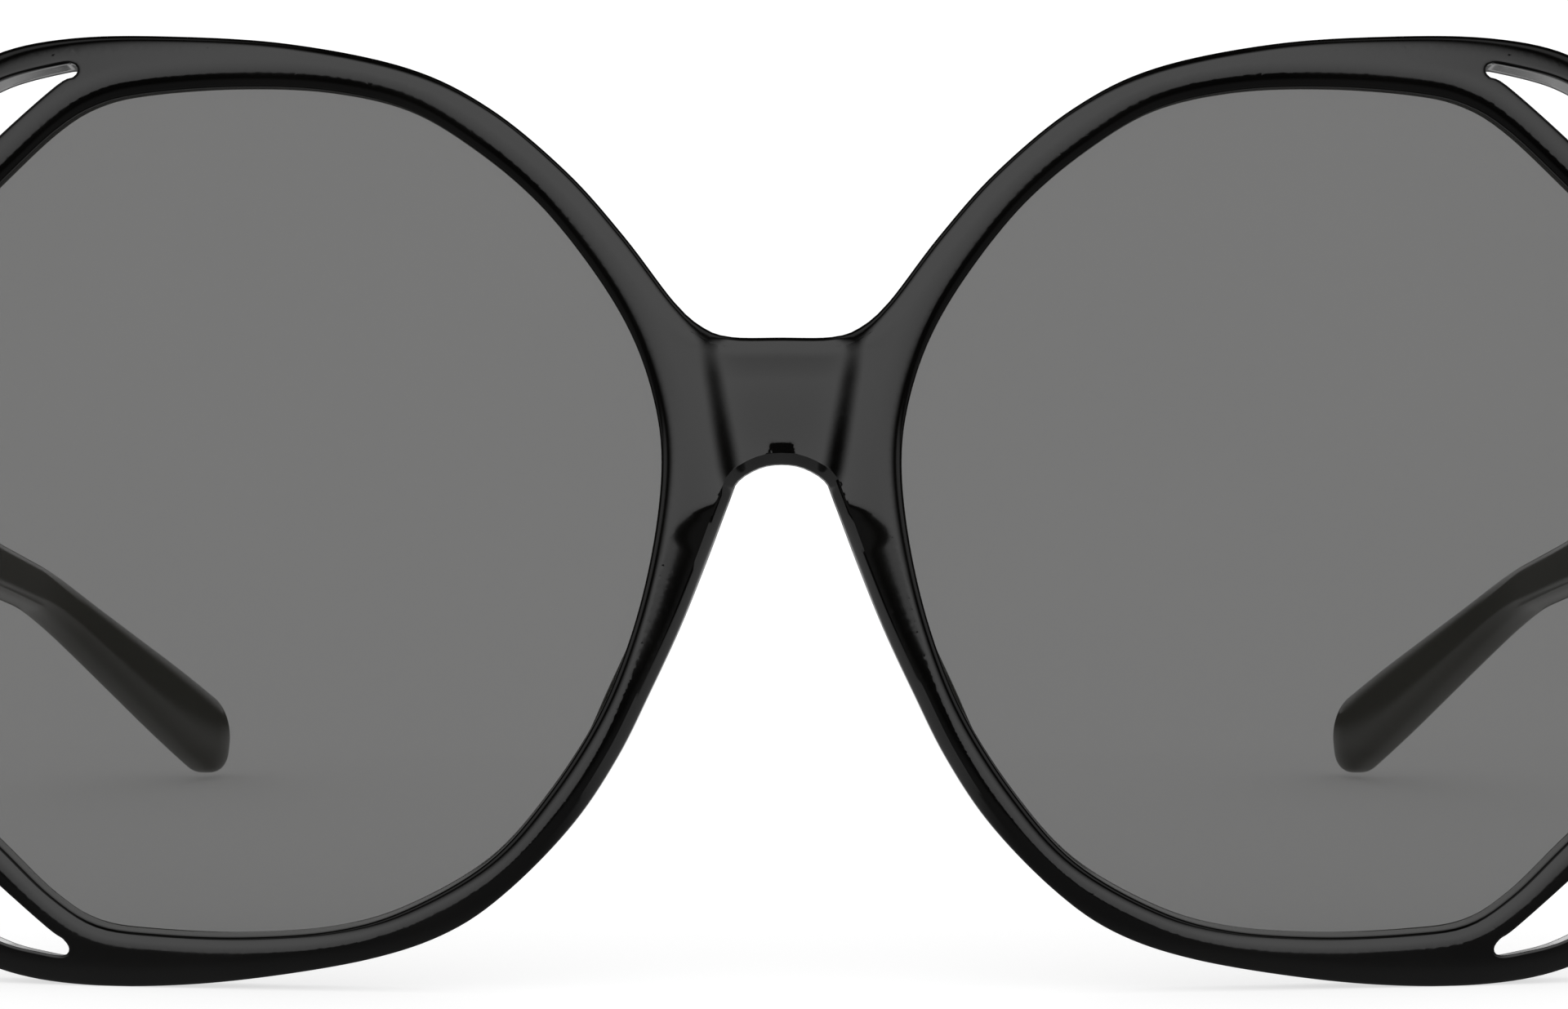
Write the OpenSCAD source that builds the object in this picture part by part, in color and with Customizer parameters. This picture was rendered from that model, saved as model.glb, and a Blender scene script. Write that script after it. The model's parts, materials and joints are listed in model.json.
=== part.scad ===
// Oversize sunglasses: octagonal lenses set in round rims with crescent openings between them.
// The front is drawn upright, facing -Y, with the middle of its height at z = 0. The temples run back along +Y.
// Left and right are the wearer's: the left side has x above zero. At the end the whole part leans back until it
// stands on the lower rims and on the temple tips.

/* [Lenses] */
// Width of one lens opening
lens_w = 57.5; // [55:0.5:60]
// Height of one lens opening
lens_h = 60.9; // [58:0.1:64]
// Distance between the two lens openings
bridge_w = 17.2; // [15:0.1:20]
// Thickness of a lens
lens_t = 1.9; // [1.6:0.1:2.2]
// Depth of the lens groove in the rim
groove_d = 0.8; // [0.5:0.05:0.9]
// Distance of the lens face behind the front face of the rim
lens_set = 1.2; // [1:0.05:1.4]

/* [Front] */
// Width of the rim beside the outer edge of a lens
rim_side = 3.3; // [3:0.1:4]
// Width of the rim above and below a lens, at its widest
rim_edge = 4; // [3.5:0.1:5]
// Thickness of the front, from face to back
front_t = 4.2; // [3.9:0.1:5]
// Radius of the ball that the front is bent over
wrap_r = 240; // [220:5:280]
// Width of the rounded outer edge on the face
face_round = 0.8; // [0.6:0.05:0.9]
// Width of the rounded outer edge on the back
back_round = 0.6; // [0.3:0.05:0.7]

/* [End pieces] */
// Distance that an end piece reaches back behind the rim
turn_back = 2.3; // [2:0.1:4]
// Distance that an end piece stands out beside the rim
end_out = 2; // [1.5:0.1:2.5]
// Height of the hinge middle above the middle of the front
hinge_z = 2; // [-3:0.5:4]

/* [Temples] */
// Distance from the hinge to the middle of the ear bend
temple_l = 94.9; // [85:0.1:105]
// Distance from the middle of the ear bend to the end of the tip
tip_l = 43.1; // [36:0.1:46]
// Angle at which a temple runs inward
temple_in_angle = 5.5; // [4:0.1:6]
// Angle at which a temple runs down
temple_down_angle = 2.3; // [1:0.1:5]
// Angle at which a tip runs inward
tip_in_angle = 18; // [16:0.1:24]
// Angle at which a tip runs down
tip_down_angle = 15.9; // [14:0.1:22]
// Radius of the ear bend
bend_r = 45; // [40:1:70]
// Height of a temple at the hinge
temple_h = 9.2; // [8.6:0.1:10]
// Height of a temple at its slimmest, before the ear bend
ear_h = 3.6; // [3.5:0.1:6]
// Height of a temple at its tip
tip_h = 6.5; // [6:0.1:8]
// Thickness of a temple at the hinge
temple_t = 3.8; // [3.6:0.05:4.2]
// Thickness of a temple at its tip
tip_t = 3.1; // [2.9:0.1:3.5]

/* [Nose pads] */
// Distance that a nose pad stands behind the rim
pad_d = 5.5; // [4:0.1:7]
// Thickness of a nose pad where it is joined to the rim
pad_t = 2.4; // [2:0.1:2.6]

/* [Hinges] */
// Height of the five knuckles together
hinge_h = 6; // [5.5:0.1:6.4]
// Radius of a knuckle
knuckle_r = 1.4; // [1.3:0.05:1.45]
// Gap between two knuckles
knuckle_gap = 0.08; // [0.06:0.01:0.12]
// Thickness of a hinge leaf
leaf_t = 0.9; // [0.8:0.05:1]
// Length of the leaf in the end piece
front_leaf_l = 4.2; // [3.6:0.1:4.4]
// Length of the leaf in the temple
temple_leaf_l = 9; // [8:0.1:11]
// Radius of the hinge screw
screw_r = 0.6; // [0.5:0.05:0.7]
// Radius of the head of the hinge screw
screw_head_r = 1.1; // [1:0.05:1.25]
// Height of the head of the hinge screw
screw_head_h = 0.7; // [0.6:0.05:0.9]
// Radius of the wire core in a temple
core_r = 0.65; // [0.5:0.05:0.7]

/* [Clearances] */
// Running fit round the hinge screw
screw_fit = 0.05; // [0.03:0.01:0.08]
// Gap round a lens in its groove
lens_fit = 0.08; // [0.05:0.01:0.12]
// Gap round a leaf or a core in its pocket
pocket_fit = 0.05; // [0.03:0.01:0.08]
// Gap between an end piece and the temple behind it
butt_gap = 0.2; // [0.15:0.05:0.3]

/* [Hidden] */
$fn = 64;
// Facets of the large ball
ball_facets = 360;

// Overrun of every cut
over = 8;
half_w = bridge_w / 2 + lens_w + rim_side;
half_h = lens_h / 2 + rim_edge;
lens_x = bridge_w / 2 + lens_w / 2;

// Hinge axis and the butt plane between end piece and temple
end_in_x = half_w + end_out - temple_t;
hinge_gap = 0.2;
hinge_x = end_in_x - knuckle_r - hinge_gap;
hinge_y = back_y(half_w, 0) + turn_back;

// Outline of the front, its right half from the top of the bridge round to the top of the nose arch:
// shares of half_w and half_h
outline_shares = [
    [0, 0.353], [0.052, 0.354], [0.081, 0.372], [0.111, 0.425], [0.163, 0.563], [0.223, 0.7], [0.303, 0.835],
    [0.389, 0.922], [0.516, 0.977], [0.648, 0.997], [0.742, 0.995], [0.814, 0.966], [0.869, 0.911], [0.916, 0.827],
    [0.954, 0.723], [0.978, 0.604], [0.993, 0.473], [0.999, 0.29], [1, 0], [0.999, -0.29], [0.993, -0.473],
    [0.978, -0.604], [0.954, -0.723], [0.916, -0.827], [0.869, -0.911], [0.814, -0.964], [0.749, -0.992],
    [0.663, -1], [0.556, -0.986], [0.429, -0.945], [0.344, -0.887], [0.28, -0.797], [0.216, -0.663],
    [0.171, -0.527], [0.137, -0.39], [0.106, -0.255], [0.079, -0.12], [0.054, 0.014], [0.045, 0.054],
    [0.023, 0.081], [0, 0.0885]
];
// Outline of a lens opening: shares of lens_w / 2 and lens_h / 2 about the middle of the lens
lens_shares = [
    [-1, 0.1], [-0.98, 0.25], [-0.923, 0.404], [-0.825, 0.558], [-0.69, 0.716], [-0.533, 0.844], [-0.362, 0.942],
    [-0.157, 0.989], [0.076, 1], [0.299, 0.988], [0.424, 0.962], [0.529, 0.903], [0.675, 0.775], [0.859, 0.6],
    [0.96, 0.47], [0.997, 0.28], [1, 0], [0.997, -0.28], [0.96, -0.478], [0.859, -0.61], [0.668, -0.78],
    [0.532, -0.901], [0.417, -0.967], [0.268, -0.988], [0.045, -0.996], [-0.184, -0.981], [-0.365, -0.932],
    [-0.567, -0.824], [-0.717, -0.67], [-0.846, -0.482], [-0.929, -0.288], [-0.981, -0.085]
];
// Outlines of the crescent openings above and below the outer corners of a lens: shares of half_w and half_h
upper_slit_shares = [
    [0.734, 0.926], [0.739, 0.939], [0.755, 0.939], [0.816, 0.908], [0.865, 0.849], [0.905, 0.763], [0.935, 0.659],
    [0.955, 0.549], [0.954, 0.517], [0.939, 0.534], [0.893, 0.639], [0.816, 0.788], [0.756, 0.893], [0.738, 0.911]
];
lower_slit_shares = [
    [0.74, -0.92], [0.746, -0.933], [0.769, -0.927], [0.813, -0.903], [0.865, -0.845], [0.905, -0.76],
    [0.935, -0.659], [0.955, -0.549], [0.954, -0.517], [0.939, -0.537], [0.893, -0.639], [0.813, -0.787],
    [0.762, -0.877], [0.746, -0.9]
];
// Rounding of an edge: shares of its width and of its depth, from the flat to the wall
round_shares = [[1.5, -0.3], [0.4, 0.33], [0, 1]];
back_round_shares = [[0, 1], [1.3, -0.3]];
// Rounding of the inner edges against the outer one
opening_edge_share = 0.85;
slit_edge_share = 0.4;

// Steps between two chosen points of an outline
outline_steps = 2;
slit_steps = 2;

// Height and thickness of a temple along its length: shares of the length, of the change from hinge to ear,
// of the change from ear to tip
temple_shares = [
    [0, 0, 0], [0.09, 0.22, 0], [0.2, 0.52, 0], [0.35, 0.8, 0], [0.5, 0.95, 0], [0.66, 1, 0], [0.74, 1, 0.15],
    [0.82, 1, 0.5], [0.9, 1, 0.86], [0.96, 1, 1], [1.01, 1, 1]
];
section_points = 16;
// Form of the temple section: 1 is an ellipse, less is squarer
section_share = 0.62;
// Length of the rounded end of a tip
tip_round = tip_h * 0.42;

function lerp(a, b, t) = a + (b - a) * t;
function unit(v) = v / norm(v);

// Smooth curve through four points in a row, from the second to the third
function bend(a, b, c, d, t) =
    0.5 * (2 * b + (c - a) * t + (2 * a - 5 * b + 4 * c - d) * t * t + (3 * b - a - 3 * c + d) * t * t * t);

// Smooth closed curve through all points
function smooth(points, steps) =
    let (n = len(points))
    [for (i = [0:n - 1], k = [0:steps - 1])
        bend(points[(i + n - 1) % n], points[i], points[(i + 1) % n], points[(i + 2) % n], k / steps)];

// The same outline on the other side of the centre plane, turning the same way round
function mirrored(points) = [for (i = [len(points) - 1:-1:0]) [-points[i].x, points[i].y]];

// Each point moved out of the outline by d, square to the curve. The outlines turn clockwise.
function offset_out(points, d) =
    let (n = len(points))
    [for (i = [0:n - 1])
        let (t = unit(points[(i + 1) % n] - points[(i + n - 1) % n]))
        points[i] + d * [-t.y, t.x]];

// Places on the bent front: y of the ball at a depth behind the face, and of the back
function ball_y(x, z, depth) = wrap_r - sqrt((wrap_r - depth) * (wrap_r - depth) - x * x - z * z);
function back_y(x, z) = ball_y(x, z, front_t);

// A ring of points at a depth, drawn in towards the middle of the ball so that the walls stand square to the face
function ring_at(points, depth) =
    [for (p = points)
        let (q = p * (wrap_r - depth) / wrap_r)
        [q.x, ball_y(q.x, q.y, depth), q.y]];
function flat_ring(ring, y) = [for (p = ring) [p.x, y, p.z]];

outline = smooth(concat(
    [for (s = outline_shares) [s.x * half_w, s.y * half_h]],
    [for (i = [len(outline_shares) - 2:-1:1]) [-outline_shares[i].x * half_w, outline_shares[i].y * half_h]]
), outline_steps);
opening = smooth([for (s = lens_shares) [lens_x + s.x * lens_w / 2, s.y * lens_h / 2]], outline_steps);
upper_slit = smooth([for (s = upper_slit_shares) [s.x * half_w, s.y * half_h]], slit_steps);
lower_slit = mirrored(smooth([for (s = lower_slit_shares) [-s.x * half_w, s.y * half_h]], slit_steps));

// Solid between rings of equally many points, closed flat at both ends
module loft(rings) {
    n = len(rings[0]);
    last = len(rings) - 1;
    polyhedron(
        points = [for (ring = rings) each ring],
        faces = concat(
            [[for (i = [0:n - 1]) i]],
            [for (k = [0:last - 1], i = [0:n - 1])
                let (a = k * n + i, b = k * n + (i + 1) % n)
                each [[a, a + n, b], [b, a + n, b + n]]],
            [[for (i = [n - 1:-1:0]) last * n + i]]
        )
    );
}

// Solid inside an outline, with walls square to the bent face. edge_share is the size of its rounding against that
// of the outer edge: above zero the edges are drawn in, below zero they open out.
module through(points, edge_share) {
    grow = -sign(edge_share);
    face_r = abs(edge_share) * face_round;
    back_r = abs(edge_share) * back_round;
    face = [for (s = round_shares) ring_at(offset_out(points, grow * s.x * face_r), s.y * face_r)];
    back = [for (s = back_round_shares)
        ring_at(offset_out(points, grow * s.x * back_r), front_t - s.y * back_r)];
    rings = concat(face, back);
    loft(concat([flat_ring(rings[0], -over)], rings, [flat_ring(rings[len(rings) - 1], hinge_y + over)]));
}

// Plain solid inside an outline between two depths
module layer(points, from, to) {
    outer = ring_at(points, from - over / 8);
    inner = ring_at(points, to + over / 8);
    intersection() {
        loft([flat_ring(outer, -over), outer, inner, flat_ring(inner, hinge_y + over)]);
        shell(from, to);
    }
}

// Part of a ball's wall between two depths
module shell(from, to) {
    translate([0, wrap_r, 0])
        difference() {
            sphere(wrap_r - from, $fn = ball_facets);
            sphere(wrap_r - to, $fn = ball_facets);
        }
}

// Section of a temple or an end piece: a rounded bar, as points that turn clockwise about a place, along the
// directions of its thickness and its height
function bar_section(place, wide, high, w, h, form_share = section_share) =
    [for (i = [0:section_points - 1])
        let (a = -360 * i / section_points, c = cos(a), s = sin(a))
        place + wide * w / 2 * sign(c) * pow(abs(c), form_share)
            + high * h / 2 * sign(s) * pow(abs(s), form_share)];

// Directions and turning point of the temple's path
function heading(inward, down) = [-sin(inward) * cos(down), cos(inward) * cos(down), -sin(down)];
run = heading(temple_in_angle, temple_down_angle);
fall = heading(tip_in_angle, tip_down_angle);
bend_angle = acos(run * fall);
bend_side = unit(fall - run * (run * fall));
bend_reach = bend_r * tan(bend_angle / 2);
bend_arc = bend_r * bend_angle * PI / 180;
temple_start = [end_in_x + temple_t / 2, hinge_y, hinge_z];
bend_start = temple_start + run * (temple_l - bend_reach);
path_l = temple_l + tip_l - 2 * bend_reach + bend_arc;
straight_l = temple_l - bend_reach;

// Angle turned so far, place and heading at a distance along the path
function turned(s) = max(0, min(bend_angle, (s - straight_l) / bend_r * 180 / PI));
function way(s) = run * cos(turned(s)) + bend_side * sin(turned(s));
function place(s) =
    s <= straight_l
        ? temple_start + run * s
        : bend_start + run * bend_r * sin(turned(s)) + bend_side * bend_r * (1 - cos(turned(s)))
            + fall * max(0, s - straight_l - bend_arc);

// Value of the shares table at a share of the length
function along(share, column) =
    let (i = [for (k = [0:len(temple_shares) - 2]) if (share >= temple_shares[k][0]) k], k = max(concat([0], i)))
    let (a = temple_shares[k], b = temple_shares[k + 1])
    lerp(a[column], b[column], (share - a[0]) / (b[0] - a[0]));
function bar_h(s) = lerp(lerp(temple_h, ear_h, along(s / path_l, 1)), tip_h, along(s / path_l, 2));
function bar_t(s) = lerp(temple_t, tip_t, along(s / path_l, 1));
// Shrinking of the section towards the rounded end
function cap(s) = sqrt(max(0, 1 - pow(max(0, s - path_l + tip_round) / tip_round, 2)));

function temple_section(s, shrink) =
    let (t = way(s), wide = unit([t.y, -t.x, 0]), high = cross(wide, t))
    bar_section(place(s), wide, high, bar_t(s) * lerp(1, shrink, 0.7), bar_h(s) * shrink);

// Distances of the temple sections along the path
function temple_stations() = concat(
    [-temple_h / 2],
    [for (i = [0:7]) i / 7 * straight_l],
    [for (i = [1:5]) straight_l + i / 5 * bend_arc],
    [for (i = [1:2]) lerp(straight_l + bend_arc, path_l - tip_round, i / 2)],
    [for (share = [0.3, 0.55, 0.75, 0.88, 0.95, 0.99]) path_l - tip_round + share * tip_round]
);

// Lean of the whole part when it stands on the lower rims and the temple tips. rim_points are the edge of the front
// at both ends of its wall, tip_points the sections of a tip.
function leaned(p, angle) = [p.x, p.y * cos(angle) + p.z * sin(angle), p.z * cos(angle) - p.y * sin(angle)];
function lowest_of(points, angle) = min([for (p = points) leaned(p, angle).z]);
rim_points = concat(ring_at(outline, face_round), ring_at(outline, front_t - back_round));
tip_points = [for (s = temple_stations()) if (s > path_l - tip_l / 2) each temple_section(s, cap(s))];
rough_lean = atan2(min([for (p = tip_points) p.z]) + half_h, place(path_l).y);
rim_low = [for (p = rim_points) if (leaned(p, rough_lean).z == lowest_of(rim_points, rough_lean)) p][0];
lean = min([for (p = tip_points) atan2(p.z - rim_low.z, p.y - rim_low.y)]);
lowest = lowest_of(rim_points, lean);
face_points = ring_at(offset_out(outline, -round_shares[0].x * face_round), 0);
front_reach = min([for (p = face_points) leaned(p, lean).y]);
rear_reach = max([for (p = tip_points) leaned(p, lean).y]);

module stand() {
    translate([0, -(front_reach + rear_reach) / 2, -lowest])
        rotate([-lean, 0, 0])
            children();
}

// The left piece is drawn, the right one is its mirror image
module on_side(side) {
    stand()
        mirror([side < 0 ? 1 : 0, 0, 0])
            children();
}

// Front of black sheet, bent over a ball, with rounded edges, lens grooves and end pieces that turn back
module front_frame() {
    color([0.03, 0.03, 0.03])
        stand()
            difference() {
                union() {
                    intersection() {
                        shell(0, front_t);
                        through(outline, 1);
                    }
                    for (side = [0, 1])
                        mirror([side, 0, 0])
                            end_piece();
                }
                for (side = [0, 1])
                    mirror([side, 0, 0]) {
                        through(opening, -opening_edge_share);
                        through(upper_slit, -slit_edge_share);
                        through(lower_slit, -slit_edge_share);
                        layer(offset_out(opening, groove_d + lens_fit), lens_set - lens_fit,
                            lens_set + lens_t + lens_fit);
                        front_leaf(pocket_fit);
                    }
            }
}

// Places, thickness and height of an end piece from its butt plane forward: shares of the way to the rim's middle,
// of the standing out, of the thickness and of the height
end_shares = [[0, 1, 1, 1], [0.35, 1, 1, 1.06], [0.62, 0.9, 0.97, 1.16], [0.82, 0.55, 0.8, 1.25], [1, 0, 0.45, 1.3]];

module end_piece() {
    reach = turn_back + front_t * 0.8;
    loft([for (i = [len(end_shares) - 1:-1:0])
        let (s = end_shares[i], thick = temple_t * s[2])
        bar_section(
            [end_in_x + thick / 2, hinge_y - butt_gap / 2 - s[0] * reach, hinge_z],
            [1, 0, 0], [0, 0, 1], thick, temple_h * s[3])]);
}

// Grey lens, sprung into the groove
module lens() {
    color([0.35, 0.35, 0.33, 0.6])
        layer(offset_out(opening, groove_d), lens_set, lens_set + lens_t);
}

module lens_left() {
    on_side(1) lens();
}

module lens_right() {
    on_side(-1) lens();
}

// Nose pad, cemented behind the rim beside the nose. Its sections follow the nose arch: shares of half_w and
// half_h for the edge of the arch, and of pad_d for the depth
pad_shares = [
    [0.076, -0.1, 0.3], [0.09, -0.165, 0.6], [0.106, -0.24, 0.88], [0.122, -0.315, 1], [0.139, -0.39, 1],
    [0.156, -0.465, 0.88], [0.174, -0.53, 0.66], [0.195, -0.6, 0.44], [0.217, -0.66, 0.3]
];
// Outline of a pad section: shares of its thickness and its depth, from the nose side round the back
pad_section_shares = [
    [0, -0.4], [0.02, 0.25], [0.1, 0.62], [0.3, 0.9], [0.6, 1], [0.86, 0.86], [0.97, 0.5], [1, -0.4]
];

module nose_pad() {
    sections = [for (s = pad_shares)
        let (x = s.x * half_w + back_round, z = s.y * half_h, y = back_y(x, z), d = s.z * pad_d)
        [for (q = pad_section_shares)
            [x + q.x * pad_t, y + (q.y < 0 ? q.y * pad_t : q.y * d), z]]];
    color([0.03, 0.03, 0.03])
        intersection() {
            loft(sections);
            translate([0, wrap_r, 0])
                sphere(wrap_r - front_t, $fn = ball_facets);
        }
}

module nose_pad_left() {
    on_side(1) nose_pad();
}

module nose_pad_right() {
    on_side(-1) nose_pad();
}

// Knuckles of a hinge stand one above the other on the screw
knuckles = 5;
knuckle_h = (hinge_h - (knuckles - 1) * knuckle_gap) / knuckles;
function knuckle_z(i) = hinge_z - hinge_h / 2 + i * (knuckle_h + knuckle_gap);

// One hinge half drawn about the screw axis: knuckles numbered from the bottom, each with its arm to the leaf.
// back is 1 for the leaf that runs back and -1 for the one that runs forward.
module hinge_half(numbers, leaf_l, lug_from, lug_to, lug_t, back, grow) {
    arm_gap = butt_gap / 2 + pocket_fit;
    leaf_x = knuckle_r + hinge_gap;
    low = hinge_z - hinge_h / 2;
    difference() {
        union() {
            for (i = numbers)
                translate([0, 0, knuckle_z(i)]) {
                    cylinder(r = knuckle_r, h = knuckle_h);
                    y_block(0, leaf_x + leaf_t / 2, arm_gap, knuckle_r, 0, knuckle_h, back);
                }
            y_block(leaf_x - grow, leaf_x + leaf_t + grow, arm_gap - grow, leaf_l + grow, low - grow,
                low + hinge_h + grow, back);
            y_block(leaf_x, leaf_x + lug_t + grow, lug_from - grow, lug_to + grow, hinge_z - lug_t / 2 - grow,
                hinge_z + lug_t / 2 + grow, back);
        }
        translate([0, 0, low - over])
            cylinder(r = screw_r + screw_fit, h = hinge_h + 2 * over);
    }
}

// Block between two places on each axis, with y turned forward where back is -1
module y_block(x0, x1, y0, y1, z0, z1, back) {
    translate([x0, back > 0 ? y0 : -y1, z0])
        cube([x1 - x0, y1 - y0, z1 - z0]);
}

// Anchor lugs on the leaves reach into the plastic
front_lug_t = 2;
front_lug_from = 1.2;
core_x = temple_t / 2;
temple_lug_t = core_x + core_r + pocket_fit;
temple_lug_from = 2;
temple_lug_to = 5;

module front_leaf(grow) {
    translate([hinge_x, hinge_y, 0])
        hinge_half([0, 2, 4], front_leaf_l, front_lug_from, front_leaf_l - front_lug_from, front_lug_t, -1, grow);
}

module temple_leaf(grow) {
    translate([hinge_x, hinge_y, 0])
        rotate([0, 0, temple_in_angle])
            hinge_half([1, 3], temple_leaf_l, temple_lug_from, temple_lug_to, temple_lug_t, 1, grow);
}

module front_hinge_left() {
    color("silver") on_side(1) front_leaf(0);
}

module front_hinge_right() {
    color("silver") on_side(-1) front_leaf(0);
}

module temple_hinge_left() {
    color("silver") on_side(1) temple_leaf(0);
}

module temple_hinge_right() {
    color("silver") on_side(-1) temple_leaf(0);
}

// Slotted screw that the hinge turns on, dropped in from above
module hinge_screw() {
    slot_w = screw_head_r * 0.3;
    slot_d = screw_head_h * 0.5;
    head_z = hinge_z + hinge_h / 2;
    color("silver")
        translate([hinge_x, hinge_y, 0])
            difference() {
                union() {
                    translate([0, 0, hinge_z - hinge_h / 2])
                        cylinder(r = screw_r, h = hinge_h + screw_head_h / 2);
                    translate([0, 0, head_z])
                        cylinder(r = screw_head_r, h = screw_head_h);
                }
                translate([-over, -slot_w / 2, head_z + screw_head_h - slot_d])
                    cube([2 * over, slot_w, over]);
            }
}

module hinge_screw_left() {
    on_side(1) hinge_screw();
}

module hinge_screw_right() {
    on_side(-1) hinge_screw();
}

// Wire core from the anchor lug of the hinge, round the ear bend and into the tip. It follows the temple's own path,
// and starts behind the whole end face of the lug.
core_start = (temple_lug_to + pocket_fit + (knuckle_r + hinge_gap + core_x) * sin(temple_in_angle)
    + core_r * sin(temple_down_angle)) / cos(temple_down_angle);
core_end_gap = 12;

module along_path(radius, from, to) {
    stations = concat([from], [for (i = [0:5]) straight_l + i / 5 * bend_arc], [to]);
    loft([for (s = stations)
        let (t = way(s), wide = unit([t.y, -t.x, 0]))
        bar_section(place(s), wide, cross(wide, t), 2 * radius, 2 * radius, 1)]);
}

module core() {
    color("silver")
        along_path(core_r, core_start, path_l - core_end_gap);
}

module temple_core_left() {
    on_side(1) core();
}

module temple_core_right() {
    on_side(-1) core();
}

// Black temple, tall at the hinge, slim before the ear and wider at its rounded tip
module temple() {
    color([0.03, 0.03, 0.03])
        difference() {
            loft([for (s = temple_stations()) temple_section(s, cap(s))]);
            translate([0, hinge_y + butt_gap / 2 - 2 * over, -half_h])
                cube([2 * half_w, 2 * over, 2 * half_h]);
            temple_leaf(pocket_fit);
            along_path(core_r + pocket_fit, temple_lug_to, path_l - core_end_gap + pocket_fit);
        }
}

module temple_left() {
    on_side(1) temple();
}

module temple_right() {
    on_side(-1) temple();
}

front_frame();
lens_left();
lens_right();
nose_pad_left();
nose_pad_right();
front_hinge_left();
front_hinge_right();
hinge_screw_left();
hinge_screw_right();
temple_hinge_left();
temple_hinge_right();
temple_left();
temple_right();
temple_core_left();
temple_core_right();
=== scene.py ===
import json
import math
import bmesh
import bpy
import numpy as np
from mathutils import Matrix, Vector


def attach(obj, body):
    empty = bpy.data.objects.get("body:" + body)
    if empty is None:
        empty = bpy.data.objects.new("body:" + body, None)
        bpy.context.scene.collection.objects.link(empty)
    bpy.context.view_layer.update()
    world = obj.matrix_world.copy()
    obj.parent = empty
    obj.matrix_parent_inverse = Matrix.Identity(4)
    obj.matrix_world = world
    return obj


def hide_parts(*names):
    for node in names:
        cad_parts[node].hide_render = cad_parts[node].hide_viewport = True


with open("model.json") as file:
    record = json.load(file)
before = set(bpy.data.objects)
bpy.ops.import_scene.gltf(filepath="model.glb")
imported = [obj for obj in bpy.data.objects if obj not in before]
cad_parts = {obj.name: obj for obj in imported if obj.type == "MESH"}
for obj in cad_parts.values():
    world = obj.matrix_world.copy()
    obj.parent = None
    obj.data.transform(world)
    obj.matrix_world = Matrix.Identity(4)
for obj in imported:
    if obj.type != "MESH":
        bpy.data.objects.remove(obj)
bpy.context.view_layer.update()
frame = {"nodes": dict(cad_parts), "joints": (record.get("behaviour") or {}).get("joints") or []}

# %% [markdown]
# # Oversize sunglasses
# A pair of black acetate sunglasses stands on a white table: octagonal grey lenses in round rims, with a
# crescent opening at each outer corner. The solids of the part are loaded already and stay where they are. This
# lesson dresses them: it makes the polished front, the lenses and the temples as smooth meshes, gives every
# piece its finish, and sets up the camera and the light.
#
# Lengths are written in millimetres in the wearer's frame, as an optician measures: x to the wearer's left, y
# back towards the ears and z up, with the front upright. One matrix turns such a place into the scene's metres,
# where the sunglasses lean back until they stand on their rims and temple tips.

MM = 0.001
BRIDGE_W, LENS_W, LENS_H = 17.2, 57.5, 60.9
RIM_SIDE, RIM_EDGE, FRONT_T = 3.3, 4.0, 4.2
WRAP_R = 240.0
HALF_W = BRIDGE_W / 2 + LENS_W + RIM_SIDE
HALF_H = LENS_H / 2 + RIM_EDGE
LENS_X = BRIDGE_W / 2 + LENS_W / 2
HINGE = Vector((66.0, 16.9441, 2.0))

left_fold = next(j for j in frame["joints"] if j["name"] == "left_fold")
LEAN = math.atan2(left_fold["axis"][1], left_fold["axis"][2])
to_joint = Matrix.Translation(Vector(left_fold["pos_m"]))
stand = to_joint @ Matrix.Scale(MM, 4) @ Matrix.Rotation(-LEAN, 4, "X") @ Matrix.Translation(-HINGE)
print("lean of the front:", round(math.degrees(LEAN), 2), "degrees")

# %% [markdown]
# ## Outlines
# The front is cut from flat sheet along smooth curves and then bent over a ball. A handful of points, read as
# shares of the half width and half height, fixes each curve, and a Catmull-Rom spline runs through them. The
# same shares shape the solids, so both models agree. Only the lower halves of the lens openings reach a little
# lower on the face.

# %% Curves through chosen points
OUTLINE = [
    (0, .353), (.052, .354), (.081, .372), (.111, .425), (.163, .563), (.223, .7), (.303, .835), (.389, .922),
    (.516, .977), (.648, .997), (.742, .996), (.814, .971), (.869, .913), (.916, .827), (.954, .723),
    (.978, .604), (.993, .473), (.999, .29), (1, 0), (.999, -.29), (.993, -.473), (.978, -.604),
    (.954, -.723), (.916, -.827), (.869, -.911), (.814, -.964), (.749, -.992), (.663, -1), (.556, -.986),
    (.429, -.945), (.344, -.887), (.28, -.797), (.216, -.663), (.171, -.527), (.137, -.39), (.106, -.255),
    (.079, -.12), (.054, .014), (.045, .054), (.023, .081), (0, .0885)]
OPENING = [
    (-1, .1), (-.98, .25), (-.923, .404), (-.825, .558), (-.69, .716), (-.533, .844), (-.362, .942),
    (-.157, .989), (.076, 1), (.299, .988), (.424, .962), (.529, .903), (.675, .775), (.859, .6), (.96, .47),
    (.997, .28), (1, 0), (.997, -.28), (.96, -.478), (.859, -.61), (.668, -.78), (.532, -.901),
    (.417, -.967), (.268, -.988), (.045, -.996), (-.184, -.981), (-.365, -.932), (-.567, -.824),
    (-.717, -.67), (-.846, -.482), (-.929, -.288), (-.981, -.085)]
UPPER_SLIT = [
    (.734, .926), (.739, .939), (.755, .939), (.816, .908), (.865, .849), (.905, .763), (.935, .659),
    (.955, .549), (.954, .517), (.939, .534), (.893, .639), (.816, .788), (.756, .893), (.738, .911)]
LOWER_SLIT = [
    (.74, -.92), (.746, -.933), (.769, -.927), (.813, -.903), (.865, -.845), (.905, -.76), (.935, -.659),
    (.955, -.549), (.954, -.517), (.939, -.537), (.893, -.639), (.813, -.787), (.762, -.877), (.746, -.9)]
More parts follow.
